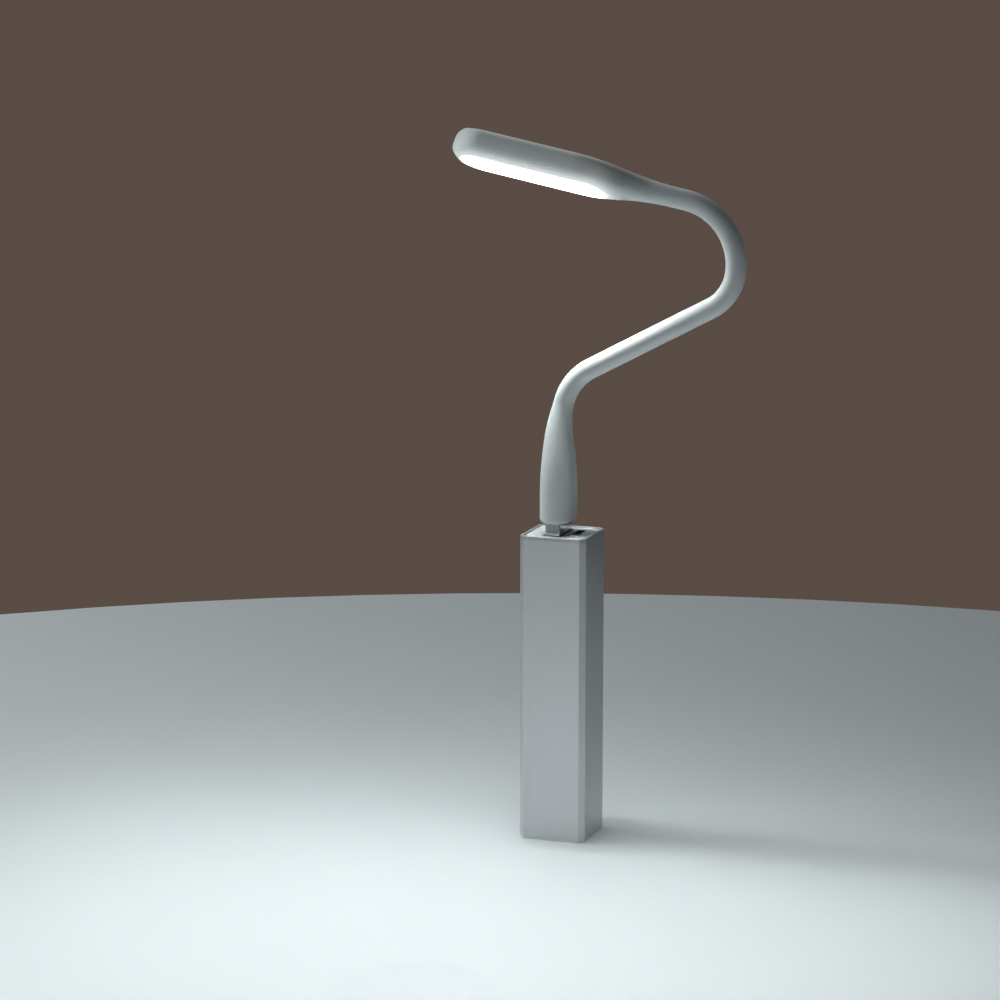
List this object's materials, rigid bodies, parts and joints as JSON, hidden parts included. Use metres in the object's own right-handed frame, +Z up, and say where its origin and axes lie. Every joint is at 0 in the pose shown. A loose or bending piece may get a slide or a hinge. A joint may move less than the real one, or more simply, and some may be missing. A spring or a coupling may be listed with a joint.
{
  "type": "usb reading light",
  "caption": "Small USB reading light with a bendable neck and a flat lit head, plugged into the top of a square metal power bank that stands upright.",
  "frame": {"origin": "centre of the power bank's foot, on the surface that it stands on", "axes": "+Z up along the power bank, -Y out of the face that the bent lamp is seen from, +X towards the side that the neck first leans to; the neck lies in the X-Z plane"},
  "size_m": [0.0898, 0.0206, 0.2127],
  "materials": {
    "case_metal": "bead-blasted and clear anodised, satin",
    "cap_plastic": "matte",
    "cell": null,
    "sleeve": "shrunk sleeve",
    "strip_metal": "nickel",
    "circuit_board": "green lacquer",
    "sheet_steel": "nickel plated",
    "white_plastic": "moulded",
    "contact_metal": "gold plated",
    "dark_plastic": "moulded",
    "soft_skin": "matte, soft to the touch",
    "wire_metal": "drawn",
    "lead_plastic": "insulation",
    "led_circuit": "white lacquer",
    "led": "clear gel over phosphor",
    "window": "milky, lit from behind"
  },
  "bodies": {
    "power_bank": {"bank_case": "case_metal", "bank_top_cap": "cap_plastic", "bank_bottom_cap": "cap_plastic", "cell_can": "cell", "cell_sleeve": "sleeve", "cell_button": "cell", "negative_strip": "strip_metal", "positive_strip": "strip_metal", "bank_board": "circuit_board", "usb_socket_shell": "sheet_steel", "usb_socket_tongue": "white_plastic", "usb_socket_contacts": "contact_metal", "charge_port_shell": "sheet_steel", "charge_port_tongue": "dark_plastic", "boost_inductor": "dark_plastic", "controller_chip": "dark_plastic", "board_capacitors": "dark_plastic"},
    "lamp_plug": {"plug_shell": "sheet_steel", "plug_tongue": "white_plastic", "plug_contacts": "contact_metal", "cover_core": "white_plastic", "cover_skin": "soft_skin", "wire_foot": "wire_metal", "leads_foot": "lead_plastic"},
    "neck_1": {"neck_skin_1": "soft_skin", "neck_wire_1": "wire_metal", "neck_leads_1": "lead_plastic"},
    "neck_2": {"neck_skin_2": "soft_skin", "neck_wire_2": "wire_metal", "neck_leads_2": "lead_plastic"},
    "neck_3": {"neck_skin_3": "soft_skin", "neck_wire_3": "wire_metal", "neck_leads_3": "lead_plastic"},
    "neck_4": {"neck_skin_4": "soft_skin", "neck_wire_4": "wire_metal", "neck_leads_4": "lead_plastic"},
    "neck_5": {"neck_skin_5": "soft_skin", "neck_wire_5": "wire_metal", "neck_leads_5": "lead_plastic"},
    "neck_6": {"neck_skin_6": "soft_skin", "neck_wire_6": "wire_metal", "neck_leads_6": "lead_plastic"},
    "neck_7": {"neck_skin_7": "soft_skin", "neck_wire_7": "wire_metal", "neck_leads_7": "lead_plastic"},
    "neck_8": {"neck_skin_8": "soft_skin", "neck_wire_8": "wire_metal", "neck_leads_8": "lead_plastic"},
    "neck_9": {"neck_skin_9": "soft_skin", "neck_wire_9": "wire_metal", "neck_leads_9": "lead_plastic"},
    "head": {"head_skin": "soft_skin", "head_tray": "white_plastic", "led_board": "led_circuit", "leds": "led", "led_resistors": "dark_plastic", "window": "window", "wire_tip": "wire_metal", "leads_tip": "lead_plastic"}
  },
  "joints": [
    {"name": "plug_pull", "type": "slide", "parent": "power_bank", "child": "lamp_plug", "axis": [0, 0, 1], "range_m": [0, 0.014]},
    {"name": "cover_top_bend", "type": "hinge", "parent": "lamp_plug", "child": "neck_1", "pos_m": [0.00042, 0, 0.13229], "axis": [0, 1, 0], "range_deg": [-18, 20]},
    {"name": "lower_bend", "type": "hinge", "parent": "neck_1", "child": "neck_2", "pos_m": [0.00861, 0, 0.14259], "axis": [0, 1, 0], "range_deg": [-18, 20]},
    {"name": "reach_sway_low", "type": "hinge", "parent": "neck_2", "child": "neck_3", "pos_m": [0.01775, 0, 0.14745], "axis": [0.4695, 0, -0.8829], "range_deg": [-25, 25]},
    {"name": "reach_bend", "type": "hinge", "parent": "neck_3", "child": "neck_4", "pos_m": [0.02689, 0, 0.15231], "axis": [0, 1, 0], "range_deg": [-20, 20]},
    {"name": "reach_sway_high", "type": "hinge", "parent": "neck_4", "child": "neck_5", "pos_m": [0.03603, 0, 0.15717], "axis": [0.4695, 0, -0.8829], "range_deg": [-25, 25]},
    {"name": "upper_bend", "type": "hinge", "parent": "neck_5", "child": "neck_6", "pos_m": [0.04516, 0, 0.16203], "axis": [0, -1, 0], "range_deg": [-28, 14]},
    {"name": "crown_bend_1", "type": "hinge", "parent": "neck_6", "child": "neck_7", "pos_m": [0.05257, 0, 0.17366], "axis": [0, -1, 0], "range_deg": [-28, 12]},
    {"name": "crown_bend_2", "type": "hinge", "parent": "neck_7", "child": "neck_8", "pos_m": [0.05094, 0, 0.18238], "axis": [0, -1, 0], "range_deg": [-28, 12]},
    {"name": "crown_bend_3", "type": "hinge", "parent": "neck_8", "child": "neck_9", "pos_m": [0.04551, 0, 0.1894], "axis": [0, -1, 0], "range_deg": [-28, 12]},
    {"name": "head_twist", "type": "hinge", "parent": "neck_9", "child": "head", "pos_m": [0.03747, 0, 0.19317], "axis": [-0.9799, 0, 0.1994], "range_deg": [-30, 30]}
  ]
}
